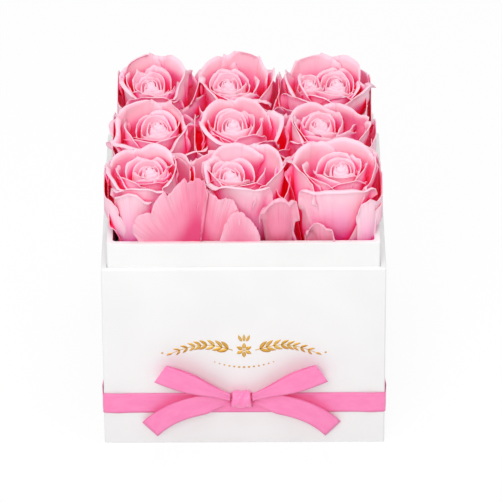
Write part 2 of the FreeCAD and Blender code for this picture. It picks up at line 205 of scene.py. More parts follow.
def rose_petal():
    """Preserved petal: deep pink at its foot, pale at its rim, with veins that fan out from the foot.
    Hollows get painted shade, deep red, by ambient occlusion, least in a bud. A loose petal is darker and
    has stronger veins."""
    finish = Finish("rose_petal")
    blade = finish.marks("blade")
    along = finish.part(blade, "Y")
    tone = finish.part(blade, "Z")
    bud = tone.between(1, BUD_TONE)
    loose = tone.between(BUD_TONE + BUD_TONE_RANGE, LOOSE_TONE)
    blotches = finish.grain(finish.place(), scale=90, detail=3)
    depth = along + 0.1 * (blotches - 0.5) + 0.1 * (tone - 0.5) * (1 - loose)
    foot_to_belly = finish.mixed(depth.between(0.22, 0.62), PETAL_FOOT, PETAL_BELLY)
    body = finish.mixed(depth.between(0.5, 0.92), foot_to_belly, PETAL_RIM)
    loose_foot_to_belly = finish.mixed(depth.between(0.3, 0.65), LOOSE_FOOT, LOOSE_BELLY)
    loose_body = finish.mixed(depth.between(0.65, 1), loose_foot_to_belly, LOOSE_RIM)
    veins = finish.grain(finish.stretched(blade, VEIN_STRETCH), detail=3)
    fine_veins = finish.grain(finish.stretched(blade, FINE_VEIN_STRETCH), detail=4)
    fine_share = LOOSE_VEIN_SHARE * loose * fine_veins.between(0.42, 0.68)
    vein_share = VEIN_SHARE * veins.between(0.45, 0.75) + fine_share
    veined = finish.mixed(vein_share, finish.mixed(loose, body, loose_body), PETAL_VEIN)
    # Painted shade: ambient occlusion within this reach colours the hollows deep red to pink, and a bud's
    # hollows less.
    reach = {"Distance": PAINTED_SHADE_REACH * MM}
    painted_shade_openness = finish.node("ShaderNodeAmbientOcclusion", {"samples": 8}, reach, "AO") + BUD_PAINTED_SHADE_CUT * bud
    painted_hollow_shade = finish.mixed(painted_shade_openness.between(0, 0.1), PAINTED_SHADE_RED, PAINTED_SHADE_PINK)
    return finish.closed({
        "Base Color": finish.mixed(painted_shade_openness.between(0, PAINTED_SHADE_END), painted_hollow_shade, veined),
        "Roughness": 0.5 + 0.2 * veins,
        "Specular IOR Level": 0.02,
        "Normal": finish.bumped(veins + 0.6 * blotches, depth=0.16),
    })


def satin():
    """Satin ribbon: fine floats across its width, a woven edge on either side."""
    finish = Finish("satin")
    weave = finish.marks("weave")
    across = finish.part(weave, "X")
    floats = finish.grain(finish.stretched(weave, FLOAT_STRETCH))
    slubs = finish.grain(finish.stretched(weave, SLUB_STRETCH))
    selvedge = (across * across).between(0.8, 0.93)
    body = finish.mixed(slubs.between(0.3, 0.7), SATIN_DEEP, SATIN_PALE)
    return finish.closed({
        "Base Color": finish.mixed(0.35 * selvedge, body, SATIN_EDGE),
        "Roughness": 0.26 + 0.14 * floats + 0.15 * selvedge,
        "Anisotropic": 0.4,
        "Sheen Weight": 0.15,
        "Sheen Roughness": 0.3,
        "Normal": finish.bumped(floats + 0.5 * slubs, depth=0.03),
    })


def gold_foil():
    """Gold foil, speckled, with a tone of its own on each leaf."""
    finish = Finish("gold_foil")
    tone = finish.part(finish.marks("foil"), "Z")
    speckle = finish.grain(finish.place(), scale=900, detail=3)
    shade = 0.6 * speckle + 0.4 * tone
    return finish.closed({
        "Base Color": finish.mixed(shade.between(0.2, 0.8), GOLD_DEEP, GOLD_PALE),
        "Metallic": 0.75 + 0.15 * speckle,
        "Roughness": 0.3 + 0.2 * speckle,
        "Normal": finish.bumped(speckle, depth=0.01),
    })


PAPER = wrapped_paper()
FOAM = floral_foam()
STEM = rose_stem()
PETAL = rose_petal()
SATIN = satin()
GOLD = gold_foil()


# Meshes
MID_TONE = 0.5


def unit(vectors):
    return vectors / np.maximum(np.linalg.norm(vectors, axis=-1, keepdims=True), 1e-9)


def marked(places, across, along, tone):
    """Three numbers for each place of a grid, which its finish reads."""
    marks = np.empty_like(places)
    for axis, given in enumerate((across, along, tone)):
        marks[..., axis] = given
    return marks


class Sheets:
    """Thin closed sheets gathered into one mesh, with three numbers kept at each point."""

    def __init__(self):
        self.points = []
        self.faces = []
        self.marks = []
        self.count = 0

    def add(self, front, marks, thickness, ring=False):
        """The front is a grid of places, the back lies one thickness behind; a ring's columns meet."""
        rows, columns = front.shape[:2]
        upward = np.gradient(front, axis=0)
        if ring:
            across = np.roll(front, -1, axis=1) - np.roll(front, 1, axis=1)
        else:
            across = np.gradient(front, axis=1)
        back = front - unit(np.cross(across, upward)) * thickness
        number = self.count + np.arange(rows * columns).reshape(rows, columns)
        behind = rows * columns
        if ring:
            number = np.hstack([number, number[:, :1]])
            rims = [number[0], number[-1, ::-1]]
        else:
            rims = [np.concatenate([number[0], number[1:, -1], number[-1, -2::-1], number[-2::-1, 0]])]
        corners = [number[:-1, :-1], number[:-1, 1:], number[1:, 1:], number[1:, :-1]]
        faces = np.stack(corners, -1).reshape(-1, 4)
        self.faces.append(faces)
        self.faces.append(faces[:, ::-1] + behind)
        for rim in rims:
            here, following = rim[:-1], rim[1:]
            self.faces.append(np.stack([following, here, here + behind, following + behind], -1))
        self.points += [front.reshape(-1, 3), back.reshape(-1, 3)]
        self.marks += [marks.reshape(-1, 3)] * 2
        self.count += 2 * behind

    def piece(self, name, mark, finish, slot, *nodes):
        mesh = bpy.data.meshes.new(name)
        mesh.from_pydata(np.concatenate(self.points) * MM, [], np.concatenate(self.faces).tolist())
        kept = mesh.attributes.new(mark, "FLOAT_VECTOR", "POINT")
        kept.data.foreach_set("vector", np.concatenate(self.marks).astype(np.float32).ravel())
        return as_piece(name, mesh, finish, slot, *nodes)


def as_piece(name, mesh, finish, slot, *nodes):
    mesh.polygons.foreach_set("use_smooth", [True] * len(mesh.polygons))
    mesh.materials.clear()
    mesh.materials.append(finish)
    piece = bpy.data.objects.new(name, mesh)
    bpy.context.scene.collection.objects.link(piece)
    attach(piece, "root")
    if nodes:
        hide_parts(*nodes)
    return piece


def give_finish(node, finish):
    """Gives its finish to a node of the frame that shows as it is."""
    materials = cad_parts[node].data.materials
    materials.clear()
    materials.append(finish)


# Box and neck: the boards of the frame with their edges rounded by the paper that wraps them
PAPER_ROUND, ROUND_STEPS = 0.5, 3
SAME_PLACE = 0.001
SAME_PLANE, FLAT_TURN = math.radians(1), math.radians(30)


def wrapped_board(name, node):
    shape = bmesh.new()
    shape.from_mesh(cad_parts[node].data)
    bmesh.ops.remove_doubles(shape, verts=shape.verts, dist=SAME_PLACE * MM)
    bmesh.ops.dissolve_limit(shape, angle_limit=SAME_PLANE, verts=shape.verts, edges=shape.edges)
    sharp = [edge for edge in shape.edges if edge.is_manifold and edge.calc_face_angle() > FLAT_TURN]
    bmesh.ops.bevel(
        shape, geom=sharp, offset=PAPER_ROUND * MM, segments=ROUND_STEPS, profile=0.5, affect="EDGES",
        clamp_overlap=True,
    )
    mesh = bpy.data.meshes.new(name)
    shape.to_mesh(mesh)
    shape.free()
    as_piece(name, mesh, PAPER, "wrapped_board", node)
    mesh.set_sharp_from_angle(angle=FLAT_TURN)


wrapped_board("white_box", "outer_box")
wrapped_board("white_neck", "neck_sleeve")
give_finish("foam_block", FOAM)


# Petals: a blade with a narrow claw, laid on a cup that swells from its foot
PETAL_ROWS, PETAL_HALF_COLUMNS, PETAL_THICKNESS = 19, 14, 0.35
SHARES = np.linspace(0, 1, 60)
CUP_FOOT, CUP_SWELL, CLOSE_POWER = 0.35, 0.75, 16
SIDE_LEAN = 0.8
CLAW, ROW_POWER = 0.1, 0.8
MARGIN_END, MARGIN_STEPS, LOWER_STEPS = math.radians(150), 301, 0.4
BLADE_MIDDLE, BLADE_WAIST = 0.6, 0.2
SHOULDER, LOOSE_SHOULDER = 0.45, 0.6
TIP, TIP_WIDTH = 0.05, 0.14
UNEVEN, NICK = 0.025, 0.013
ROLL_START, ROLL_FULL, SIDE_ROLL = -0.2, 0.45, 0.4
ROLL_UNEVEN, LEAST_ROLL = 0.45, 0.05
WAVE_STEP = 1.7
NICK_WAVES, ROLL_WAVES, RIM_WAVES = 3, 1.4, 1.5
BELLY_WAVES, BELLY_SLANT, BELLY_RUFFLE = 1.3, 5, 0.4
SMALL_STEP = 0.01


def smooth_step(value, low, high):
    share = np.clip((value - low) / (high - low), 0, 1)
    return share * share * (3 - 2 * share)


def waves(draw, places, count=4):
    """A smooth uneven line through the places, about one high."""
    total = np.zeros_like(places)
    for number in range(1, count + 1):
        height = draw.normal() / number**0.5
        total += height * np.sin(WAVE_STEP * number * places + draw.uniform(0, 2 * math.pi))
    return total / 2


def turned(places, angle):
    cosine, sine = math.cos(angle), math.sin(angle)
    x_place, y_place, height = places[..., 0], places[..., 1], places[..., 2]
    return np.stack([x_place * cosine - y_place * sine, x_place * sine + y_place * cosine, height], -1)


def lost_height(roll, roll_radius):
    """How much lower a rim stands once its margin is rolled."""
    return roll - roll_radius * math.sin(min(roll / roll_radius, math.pi / 2))


def squared(ratio, shoulder):
    """A sine or cosine that turns an ellipse into the broad shouldered outline of a petal."""
    return np.sign(ratio) * np.abs(ratio) ** shoulder


def petal_outline(margin, half_width, length, shoulder):
    """The margin of a flat blade, as places across and along it, by the angle from its tip."""
    upper = np.where(np.cos(margin) > 0, 1 - BLADE_MIDDLE, BLADE_MIDDLE)
    along = length * (BLADE_MIDDLE + upper * squared(np.cos(margin), shoulder))
    waist = 1 - BLADE_WAIST * (1 - np.cos(margin))
    return half_width * squared(np.sin(margin), shoulder) * waist, along


def even_margin(columns, *blade):
    """Angles that step evenly along a blade's upper margin, and further apart along its lower one."""
    angles = np.linspace(-MARGIN_END, MARGIN_END, MARGIN_STEPS)
    counted = LOWER_STEPS + (1 - LOWER_STEPS) * (np.cos(angles[1:]) > 0)
    gaps = np.hypot(*np.diff(petal_outline(angles, *blade), axis=1)) * counted
    walked = np.concatenate([[0], np.cumsum(gaps)])
    return np.interp(np.linspace(0, walked[-1], columns), walked, angles)


def petal(
    draw, radius, height, half_angle, roll, roll_radius,
    close=0, flatness=1, ruffle=0.5, shoulder=SHOULDER,
):
    """One petal about the Z axis, facing +X: a blade laid on a cup, its margin rolled outwards."""
    columns = 2 * round(PETAL_HALF_COLUMNS + radius / 2) + 1
    profile = CUP_FOOT + (1 - CUP_FOOT) * (1 - (1 - SHARES) ** 2) ** CUP_SWELL
    profile = radius * (profile - close * SHARES**CLOSE_POWER)
    steps = np.hypot(np.diff(profile), np.diff(SHARES) * height)
    arc = np.concatenate([[0], np.cumsum(steps)])
    half_width = flatness * radius * half_angle

    def on_cup(across, along):
        share = np.interp(along, arc, SHARES)
        reach = np.interp(along, arc, profile) + SIDE_LEAN * across / half_width
        bend = flatness * np.maximum(reach, 1)
        angle = across / bend
        return np.stack([reach - bend + bend * np.cos(angle), bend * np.sin(angle), height * share], -1)

    blade = (half_width, arc[-1], shoulder)
    margin = even_margin(columns, *blade)
    margin_across, margin_along = petal_outline(margin, *blade)
    ray = np.hypot(margin_across, margin_along)
    rightward, upward = margin_across / ray, margin_along / ray
    nicks = waves(np.random.default_rng(round(1000 * height)), NICK_WAVES * margin)
    uneven = UNEVEN + UNEVEN * waves(draw, margin) + NICK * nicks
    ray = ray * (1 - uneven + TIP * np.exp(-((margin / TIP_WIDTH) ** 2)))
    rolled = roll * smooth_step(np.cos(margin), ROLL_START, ROLL_FULL)
    rolled = rolled * (1 + SIDE_ROLL * np.sin(margin) ** 2)
    rolled = rolled * (1 + ROLL_UNEVEN * waves(draw, ROLL_WAVES * margin))
    fold = ray - np.maximum(rolled, LEAST_ROLL)
    share = (CLAW + (1 - CLAW) * np.linspace(0, 1, PETAL_ROWS) ** ROW_POWER)[:, None]
    distance = share * ray
    flat = np.minimum(distance, fold)
    at_fold = on_cup(fold * rightward, fold * upward)
    below = fold - SMALL_STEP
    onward = unit(at_fold - on_cup(below * rightward, below * upward))
    beside = on_cup(fold * rightward + SMALL_STEP * upward, fold * upward - SMALL_STEP * rightward)
    outward = np.cross(unit(beside - at_fold), onward)
    turn = ((distance - flat) / roll_radius)[..., None]
    places = on_cup(flat * rightward, flat * upward)
    places = places + roll_radius * (np.sin(turn) * onward + (1 - np.cos(turn)) * outward)
    places[..., 0] += ruffle * share**3 * waves(draw, RIM_WAVES * margin)
    belly = waves(draw, BELLY_WAVES * margin + BELLY_SLANT * share)
    places[..., 0] += BELLY_RUFFLE * ruffle * share * belly
    return places, marked(places, margin / MARGIN_END, share, draw.uniform())


# Roses
FRONT, HALF_TURN = -math.pi / 2, math.pi
ALL_ROUND = (0, 60, 120, 180, 240, 300)
ROSE_HEIGHT, ROSE_HALF_WIDTH, OUTER_RADIUS = 55, 21, 20
HEART_START, HEART_END, HEART_DROP, HEART_LEAN = 2, 7, 1.5, 0.05
BACK_ROLL, FRONT_ROLL = 0.4, 1.1
ROLL_RANGE, WIDTH_RANGE = (0.8, 1.2), (0.92, 1.08)
RING_SPREAD, PETAL_SPREAD, CORNER_SPREAD = 0.3, 0.1, 0.15
SECOND_BUD = 0.75
CORE_ROWS, CORE_COLUMNS = 10, 41
CORE_TURN, CORE_RISE = 2.3 * math.pi, 0.48 * math.pi
CORE_RADIUS, CORE_GROWTH, CORE_TALL, CORE_LIFT = 1.8, 0.35, 5, 0.3
CORE_PALE, CORE_TIP_PALE = 0.8, 0.1
CELL_HALF, CELL_SQUARENESS, CELL_DRAW_IN = 24.5, 6, 0.955
INNER_INSET, FREE_HEIGHT, FREE_RISE = 3, 145, 8
WALL_OVERHANG = {"front": 5, "middle": 3, "back": 1.5}
WALL_RISE = 6
CORNER_RADIUS, CORNER_STEP = 26, 0.5
CORNER_DROP, CORNER_LEAN_DROP = 8, 5
BEHIND_GUARD, GUARD_PRESS = -63, 0.25


class Rose:
    """Where one rose stands and how it opens: the middle of its rim, its heart, the rim's half width,
    its rise above the hip, how far the rim stands above the heart, and the rim's lean to the front."""

    def __init__(self, name, rim, heart, half_width, rise, cup, lean, seed):
        self.name = name
        low, high = node_box(f"rose_{name}_stem")
        self.base = np.array([(low[0] + high[0]) / 2, (low[1] + high[1]) / 2, high[2]])
        self.rim = np.array(rim) - self.base[:2]
        self.first_heart = heart
        self.stretch = np.array([half_width / ROSE_HALF_WIDTH, 1])
        self.rise = rise
        self.cup = cup
        self.lean = lean
        self.overhang = WALL_OVERHANG[name.split("_")[0]]
        self.draw = np.random.default_rng(seed)

    def stood(self, places, angle, openness):
        """Places of a petal turned about the rose, leaned and moved to the rose's own spot."""
        places = turned(places, angle)
        share = places[..., 2] / ROSE_HEIGHT
        shift = openness * self.rim + (1 - openness) * self.heart
        stretch = 1 + openness * (self.stretch - 1)
        lean = self.lean + HEART_LEAN * (1 - openness)
        moved = np.empty_like(places)
        eased = smooth_step(share, 0, 1)[..., None]
        moved[..., :2] = self.base[:2] + places[..., :2] * stretch + shift * eased
        moved[..., 2] = self.base[2] + places[..., 2] + share * (self.rise + lean * places[..., 1])
        return moved

    def pressed(self, places, inset, free=None):
        """The places kept within the square of the box that this rose fills, up to the free height."""
        cell = CELL_DRAW_IN * self.base[:2]
        beside = places[..., :2] - cell
        reach = np.sum(np.abs(beside) ** CELL_SQUARENESS, -1, keepdims=True) ** (1 / CELL_SQUARENESS)
        drawn_in = np.minimum(1, (CELL_HALF - inset) / reach)
        if free:
            drawn_in = drawn_in + (1 - drawn_in) * smooth_step(places[..., 2:], free - FREE_RISE, free)
        places[..., :2] = cell + beside * drawn_in
        return places

    def rim_height(self, radius):
        """Height of a rim above the hip: it drops round the core and rises to the outer petals."""
        drop = HEART_DROP * smooth_step(radius, HEART_START, HEART_END)
        return ROSE_HEIGHT - drop + self.cup * (radius / OUTER_RADIUS) ** 2

    def blade(self, angle, radius, half_angle, roll, roll_radius, openness, drop=0, **form):
        """One petal of the rose, which faces the given way."""
        facing = (1 - math.sin(angle)) / 2
        lip = roll * self.draw.uniform(*ROLL_RANGE) * (BACK_ROLL + (FRONT_ROLL - BACK_ROLL) * facing)
        height = self.rim_height(min(radius, OUTER_RADIUS)) + lost_height(lip, roll_radius) - drop
        height += self.draw.normal(0, radius / OUTER_RADIUS)
        width = math.radians(half_angle) * self.draw.uniform(*WIDTH_RANGE)
        places, marks = petal(self.draw, radius, height, width, lip, roll_radius, **form)
        return self.stood(places, angle, openness), marks

    def ring(self, count, radius, growth, half_angle, roll, roll_radius, openness, facing=None, **form):
        """Petals each a little further in than the last: a full turn whose first faces the front, or,
        where the ring faces one way, only the half turn about that way."""
        start = FRONT + self.draw.normal(0, RING_SPREAD)
        for number in range(count):
            angle = start + 2 * math.pi * number / count + self.draw.normal(0, PETAL_SPREAD)
            if facing is not None:
                share = (number + 0.5) / count - 0.5
                angle = facing + HALF_TURN * share + self.draw.normal(0, PETAL_SPREAD)
            reach = radius + growth * (1 - number / (count - 1))
            places, marks = self.blade(angle, reach, half_angle, roll, roll_radius, openness, **form)
            yield self.pressed(places, INNER_INSET, FREE_HEIGHT), marks

    def corner_petals(self, corners):
        """Low outermost petals that fill the corners of the rose's square and lean over the walls."""
        for number, corner in enumerate(corners):
            angle = math.radians(corner) + self.draw.normal(0, CORNER_SPREAD)
            step = CORNER_STEP * number
            drop = CORNER_DROP + CORNER_LEAN_DROP * math.sin(angle)
            places, marks = self.blade(
                angle, CORNER_RADIUS + step, half_angle=46, roll=3.0, roll_radius=3.0, openness=0.5,
                drop=drop, flatness=1.15, ruffle=0.8,
            )
            overhang = self.overhang * smooth_step(places[..., 2:], WALL_TOP, WALL_TOP + WALL_RISE)
            places = self.pressed(places, step - overhang)
            past_guard = np.minimum(places[..., 1] - BEHIND_GUARD, 0)
            places[..., 1] -= (1 - GUARD_PRESS) * past_guard
            yield places, marks

    def core(self, size):
        """The rolled tip of a bud: a small dome of one blade that goes a little over once round."""
        turn = np.linspace(0, CORE_TURN, CORE_COLUMNS)
        rise = np.linspace(0, CORE_RISE, CORE_ROWS)[:, None]
        reach = size * (CORE_RADIUS + CORE_GROWTH * turn / CORE_TURN) * np.cos(rise)
        height = ROSE_HEIGHT + CORE_LIFT - CORE_TALL * (1 - np.sin(rise))
        height = np.broadcast_to(height, reach.shape)
        places = np.stack([reach * np.cos(turn), reach * np.sin(turn), height], -1)
        marks = marked(places, turn / CORE_TURN, CORE_PALE + CORE_TIP_PALE * np.sin(rise), MID_TONE)
        return self.stood(places, FRONT, 0), marks

    def bud(self, heart, size):
        """The closed heart of the rose: a rolled core with petals that close round it."""
        self.heart = np.array(heart) - self.base[:2]
        # Number of petals, radius, growth, half angle, roll, roll radius and openness, then the form
        rings = (
            [self.core(size)],
            self.ring(2, 1.5 * size, 0.4, 140, 0.2, 1.0, 0, close=0.6, ruffle=0.1, drop=2.5),
            self.ring(2, 3.4 * size, 0.5, 150, 0.25, 1.0, 0, close=0.5, ruffle=0.1),
            self.ring(3, 4.9 * size, 0.6, 100, 0.5, 1.0, 0, close=0.35, ruffle=0.15, drop=0.8),
            self.ring(3, 6.5 * size, 0.6, 95, 0.7, 1.2, 0, close=0.2, ruffle=0.2, drop=0.8),
            self.ring(2, 8.2 * size, 0.8, 122, 1.4, 1.6, 0.05, close=0.06, ruffle=0.4),
        )
        for ring in rings:
            for places, marks in ring:
                marks[..., 2] = BUD_TONE + BUD_TONE_RANGE * marks[..., 2]
                yield places, marks

    def layer(self, part, *rings):
        sheets = Sheets()
        for ring in rings:
            for places, marks in ring:
                sheets.add(places, marks, PETAL_THICKNESS)
        sheets.piece(f"{self.name}_rose_{part}", "blade", PETAL, "petal", f"rose_{self.name}_{part}")

    def build(self, *corners, second_heart=None):
        """All petals of the rose. A second heart comes first: the open petals stand about the last."""
        second_bud = self.bud(second_heart, SECOND_BUD) if second_heart else ()
        self.layer("heart", second_bud, self.bud(self.first_heart, 1))
        self.layer(
            "middle_petals",
            self.ring(3, 10.2, 1.2, 88, 1.8, 1.5, 0.25, flatness=1.08, ruffle=0.6),
        )
        self.layer(
            "outer_petals",
            self.ring(4, 13.0, 1.4, 60, 2.0, 1.6, 0.65, FRONT, flatness=1.05, ruffle=0.8),
            self.ring(5, 17.2, 2.0, 58, 3.4, 2.0, 1, flatness=1.04, ruffle=2.0),
            self.corner_petals(corners),
        )
        give_finish(f"rose_{self.name}_stem", STEM)


# Each rose: its name, middle of the rim, heart, half width, rise, cup, lean and seed, and then the ways,
# in degrees, that its corner petals face
Rose("front_left", (-54, -46), (-49.5, -45.2), 20.5, 0, 4.5, 0.15, 351).build(205, 0, 60, 120, 180)
Rose("front_centre", (0, -45.5), (-7, -47.5), 23.5, -1, 6.5, 0.2, 372).build(0, 60, 120, 180)
Rose("front_right", (47.8, -45), (51.5, -45), 26.5, 1, 4, 0.27, 373).build(335, 0, 60, 120, 180)
Rose("middle_left", (-50, 0), (-45.8, 4), 23.4, 0, 5.5, 0.25, 354).build(*ALL_ROUND)
Rose("middle_centre", (-2.4, 1), (-5.5, 2.6), 22.6, 2.5, 3, 0.28, 275).build(*ALL_ROUND)
Rose("middle_right", (45.5, 1), (41.5, 2), 25, 2.5, 3, 0.22, 356).build(*ALL_ROUND)
Rose("back_left", (-48.5, 46), (-50, 47), 20.5, 2.5, 7, 0.26, 377).build(*ALL_ROUND)
Rose("back_centre", (-4.5, 46), (-8.2, 47), 21.5, 2.5, 5.5, 0.28, 358).build(*ALL_ROUND)
Rose("back_right", (44.5, 46), (51, 48), 25, 2.5, 4.5, 0.3, 369).build(
    *ALL_ROUND, second_heart=(35.8, 47)
)


# Loose guard petals along the front wall
GUARD_ROWS, GUARD_COLUMNS, GUARD_THICKNESS = 25, 91, 0.4
GUARD_FOOT = 97
GUARD_INSET = 2.6
GUARD_PLANE = neck_low[1] + GUARD_INSET
FORWARD_LEAN = 1.4
CREASE_WIDTH, DYE_WIDTH = 0.35, 0.4
RIM_POWER = 6
FRILL_WAVES, FRILL_RISE = 6, 0.5
FINE_FRILL_WAVES, FINE_FRILL = 13, 0.5
FOLD_WAVES, FOLD = 4, 0.5


def smooth_line(points, count):
    """A smooth line of so many places through a few points."""
    points = np.array(points, float)
    ends = np.vstack([2 * points[0] - points[1], points, 2 * points[-1] - points[-2]])
    spot = np.linspace(0, len(points) - 1, count)
    first = np.minimum(spot.astype(int), len(points) - 2)
    share = (spot - first)[:, None]
    before, start, end, after = (ends[first + step] for step in range(4))
    pull = 2 * before - 5 * start + 4 * end - after
    push = 3 * start - before - 3 * end + after
    return start + 0.5 * share * (end - before + share * (pull + share * push))


def flat_blade(outline, middle, seed, behind=0, recline=0, dip=0, bulge=0, curl=1, ruffle=1, dye=0.06):
    """A loose petal that stands flat along the front wall. Its rays run from its foot to the outline,
    given as places along the front and heights. It stands so far behind the guard plane, reclines at its
    top, dips back along its crease, bulges forward and curls at its rim; dye deepens its middle."""
    draw = np.random.default_rng(seed)
    margin = smooth_line(outline, GUARD_COLUMNS)
    foot = np.array([middle, GUARD_FOOT])
    share = np.linspace(CLAW, 1, GUARD_ROWS)[:, None, None] ** ROW_POWER
    flat = foot + share * (margin - foot)
    across, height = flat[..., 0], flat[..., 1]
    above = np.clip((height - WALL_TOP) / (margin[:, 1].max() - WALL_TOP), 0, 1)
    beside = (across - middle) / (np.ptp(margin[:, 0]) / 2)
    side = np.linspace(-1, 1, GUARD_COLUMNS)
    share = share[..., 0]
    rim = share**RIM_POWER
    depth = GUARD_PLANE + behind - FORWARD_LEAN * smooth_step(height, WALL_TOP, WALL_TOP + WALL_RISE)
    depth = depth + recline * above**2 + dip * np.exp(-((beside / CREASE_WIDTH) ** 2)) * above
    depth = depth - bulge * np.clip(1 - beside**2, 0, 1) * above**0.7
    frill = ruffle * waves(draw, FRILL_WAVES * side)
    frill = frill + FINE_FRILL * ruffle * waves(draw, FINE_FRILL_WAVES * side)
    folds = FOLD * ruffle * waves(draw, FOLD_WAVES * side) * share**2
    depth = depth + above**0.5 * (rim * (frill - curl) + folds)
    places = np.stack([across, depth, height + FRILL_RISE * rim * frill * above], -1)
    return places, marked(places, side, share - dye * np.exp(-((beside / DYE_WIDTH) ** 2)), LOOSE_TONE)


def cupped_blade(
    middle, behind, seed, radius, top, half_angle, roll, roll_radius, turn, tone=LOOSE_TONE, pale=0
):
    """A loose petal cupped like those of a rose, whose rolled rim faces the front."""
    draw = np.random.default_rng(seed)
    height = top - GUARD_FOOT + lost_height(roll, roll_radius)
    width = math.radians(half_angle)
    form = {"flatness": 1.2, "ruffle": 0.8, "shoulder": LOOSE_SHOULDER}
    places, marks = petal(draw, radius, height, width, roll, roll_radius, **form)
    marks[..., 1] = pale + (1 - pale) * marks[..., 1]
    marks[..., 2] = tone
    return turned(places, FRONT + turn) + (middle, GUARD_PLANE + behind + radius, GUARD_FOOT), marks


def guard_petal(name, nodes, *blades):
    sheets = Sheets()
    for places, marks in blades:
        sheets.add(places, marks, GUARD_THICKNESS)
    sheets.piece(name, "blade", PETAL, "petal", *nodes)


FAN_LEFT = [
    (-40, 104), (-52, 117), (-57.8, 126.6), (-58.6, 130), (-57.3, 134), (-55, 138), (-48.5, 140.5),
    (-46.5, 145), (-42, 150), (-38, 152), (-33.4, 155.5), (-29, 157.5), (-24, 159), (-20.5, 156),
    (-18.8, 151), (-20.5, 144), (-22, 134), (-23, 106),
]
FAN_RIGHT = [
    (-27, 106), (-25, 134), (-23, 146), (-20, 150), (-16.7, 149.5), (-10.4, 147.5), (-5.7, 145),
    (-2.6, 140), (-1.5, 128), (-4, 106),
]
SIDE_OUTLINE = [
    (-16, 106), (-12, 124), (-9.9, 132), (-7.8, 136), (-5, 139.6), (-1.3, 140.4), (2.3, 137),
    (5.4, 132.6), (8, 127.8), (9, 120), (9, 106),
]
guard_petal(
    "loose_petal_fan",
    ["guard_petal_fan"],
    flat_blade(FAN_LEFT, middle=-24, seed=21, recline=2, dip=2.5, curl=1.8, ruffle=2.4, dye=0.24),
    flat_blade(
        FAN_RIGHT, middle=-23, seed=26, behind=0.8, recline=2, dip=2.5, curl=1.2, ruffle=1.6, dye=0.24
    ),
)
guard_petal(
    "loose_petal_side",
    ["guard_petal_side"],
    flat_blade(
        SIDE_OUTLINE, middle=-3, seed=22, behind=-0.4, recline=1, bulge=1, curl=0.6, ruffle=0.6
    ),
)
guard_petal(
    "loose_petal_round",
    ["guard_petal_round"],
    cupped_blade(
        middle=18, behind=1.5, seed=23, radius=9, top=146, half_angle=60, roll=6, roll_radius=2.6,
        turn=0.1,
    ),
)
guard_petal(
    "loose_petal_curl",
    ["guard_petal_curl"],
    cupped_blade(
        middle=42, behind=2.5, seed=24, radius=7, top=129, half_angle=62, roll=5, roll_radius=2.2,
        turn=-0.2,
    ),
)
guard_petal(
    "loose_petal_corner",
    ["guard_petal_corner"],
    cupped_blade(
        middle=-56.5, behind=2, seed=25, radius=12, top=149, half_angle=56, roll=3.0, roll_radius=2.0,
        turn=-0.1, tone=ROSE_TONE, pale=0.25,
    ),
)
guard_petal(
    "loose_petal_right",
    [],
    cupped_blade(
        middle=62.5, behind=2, seed=28, radius=6.5, top=144, half_angle=52, roll=2.0, roll_radius=1.6,
        turn=0.55, tone=ROSE_TONE, pale=0.25,
    ),
)


# Satin ribbon: the band round the box, the knot, two loops and two tails
RIBBON_WIDTH = band_high[2] - band_low[2]
RIBBON_THICKNESS, RIBBON_COLUMNS = 0.35, 9
BAND_ROUND, BAND_STEPS, BEND_STEPS = 1.4, 61, 6
BAND_LIFT, LIFT_PLACE, LIFT_LENGTH = 0.5, 7, 4
KNOT_WIDTH, KNOT_DEPTH, KNOT_TALL = knot_high - knot_low
KNOT = np.array([(knot_low[0] + knot_high[0]) / 2, knot_high[1], (knot_low[2] + knot_high[2]) / 2])
KNOT_STEPS, KNOT_COLUMNS = 48, 13
KNOT_PLEAT, KNOT_PLEATS, KNOT_PLEAT_SLANT = 0.12, 6, 3
KNOT_DOME, KNOT_WAIST, KNOT_WAIST_TURN = 0.12, 0.12, 0.6
PINCH, PLEAT, PLEATS = 0.36, 0.5, 3
LOOP_STEPS, LOOP_PINCH_END = 49, 0.7
LOOP_REACH, LOOP_LIFT, LOOP_SWELL, LOOP_FALL, LOOP_SLANT = 43, 17, 3.6, 1.6, math.radians(32)
LOOP_SEAT, LOOP_OPEN, LOOP_PART = 0.75, 0.03, 1.2
TAIL_STEPS, TAIL_PINCH_END = 33, 0.36
TAIL_REACH, TAIL_DROP, TAIL_ARCH, TAIL_SAG = 49, 20, 3.6, 3.0
TAIL_SEAT, TAIL_SLANT, TAIL_TWIST = 0.25, math.radians(43), 1.5


def run_length(line):
    """Distance in metres along a line of places, at each of them."""
    return np.concatenate([[0], np.cumsum(np.linalg.norm(np.diff(line, axis=0), axis=1))]) * MM


def ribbon_grid(middle, half, pinched, outward):
    """A strip of ribbon: its middle line, half width vectors and, where it is pinched, pleats."""
    across = np.linspace(-1, 1, RIBBON_COLUMNS)
    places = middle[:, None] + half[:, None] * across[:, None]
    pleats = PLEAT * (1 - pinched[:, None]) * np.cos(PLEATS * math.pi * across)
    places = places + outward[:, None] * pleats[..., None]
    along = run_length(middle)
    return places, marked(places, across, along[:, None], MID_TONE), along[-1]


def half_widths(slant, pinched):
    """Half width vectors of a strip that slants to its side, narrowed where it is pinched."""
    upright = np.stack([np.sin(slant), 0 * slant, np.cos(slant)], -1)
    return upright * (pinched * RIBBON_WIDTH / 2)[:, None]


def ribbon_piece(name, node, side, middle, half, pinched):
    """One run of the bow, drawn for the left side and mirrored for the right."""
    mirror = np.array([side, 1, 1])
    middle = KNOT + middle * mirror
    half = half * mirror
    if side < 0:
        middle, half, pinched = middle[::-1], half[::-1], pinched[::-1]
    outward = unit(np.cross(half, np.gradient(middle, axis=0)))
    places, marks, length = ribbon_grid(middle, half, pinched, outward)
    sheets = Sheets()
    sheets.add(places, marks, RIBBON_THICKNESS)
    piece = sheets.piece(name, "weave", SATIN, "satin", node)


